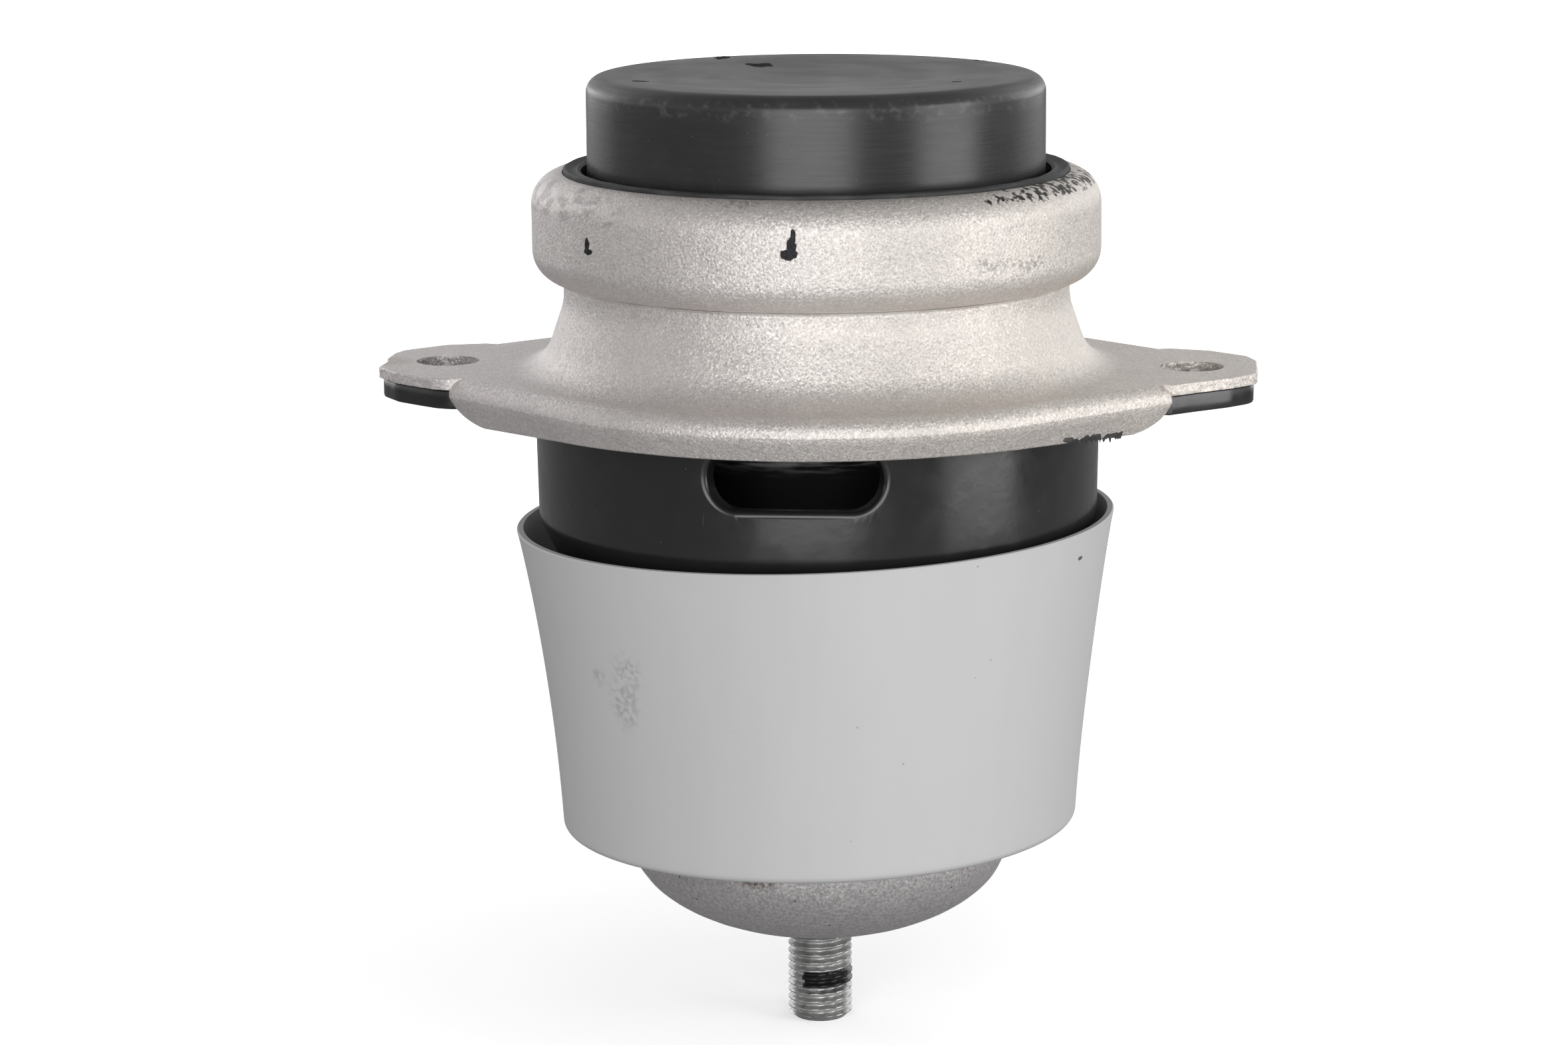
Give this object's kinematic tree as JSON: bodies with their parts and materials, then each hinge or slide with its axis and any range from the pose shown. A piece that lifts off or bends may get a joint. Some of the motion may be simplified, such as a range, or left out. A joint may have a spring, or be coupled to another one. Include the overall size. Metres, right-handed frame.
{
  "type": "engine mount",
  "caption": "Hydraulic engine mount: crimped steel housing with an eared flange, slotted travel limiter can, heat shield boot, domed nose and threaded stud.",
  "frame": {"origin": "on the mount's axis, in the plane of the ears' upper faces, at the centre of the bolt pattern", "axes": "+Z along the mount's axis, from the stud towards the fluid chamber's cover; +X through the ears"},
  "size_m": [0.1596, 0.1192, 0.1764],
  "materials": {
    "blasted_steel": "shot-blasted, bare",
    "black_coated_steel": "satin dip coat",
    "black_coated_cover": "satin coat",
    "black_rubber": "matte",
    "plain_steel": "turned",
    "plain_aluminium": "die cast",
    "grey_boot": "matte moulded",
    "cast_nose": "as cast",
    "plated_stud": "plated",
    "patch_film": "cured adhesive"
  },
  "bodies": {
    "housing": {"housing_shell": "blasted_steel", "travel_limiter_can": "black_coated_steel", "top_cover": "black_coated_cover", "cover_lip_seal": "black_rubber", "bellows": "black_rubber", "bellows_ring": "plain_steel", "track_plate_lower": "plain_aluminium", "track_plate_upper": "plain_aluminium", "decoupler_membrane": "black_rubber", "spring_outer_ring": "plain_steel", "main_rubber_spring": "black_rubber"},
    "core": {"spring_inner_core": "plain_aluminium", "upper_spacer": "plain_steel", "rebound_stop_disc": "plain_steel", "rebound_buffer": "black_rubber", "lower_spacer": "plain_steel", "boot_washer": "plain_steel", "bump_buffer": "black_rubber", "heat_shield_boot": "grey_boot", "core_nose": "cast_nose", "stud": "plated_stud", "thread_lock_patch": "patch_film"}
  },
  "joints": [
    {"name": "core_travel", "type": "slide", "parent": "housing", "child": "core", "axis": [0, 0, 1], "range_m": [-0.004, 0.01], "stiffness_N_per_m": 200000, "deforming": ["main_rubber_spring"]}
  ]
}
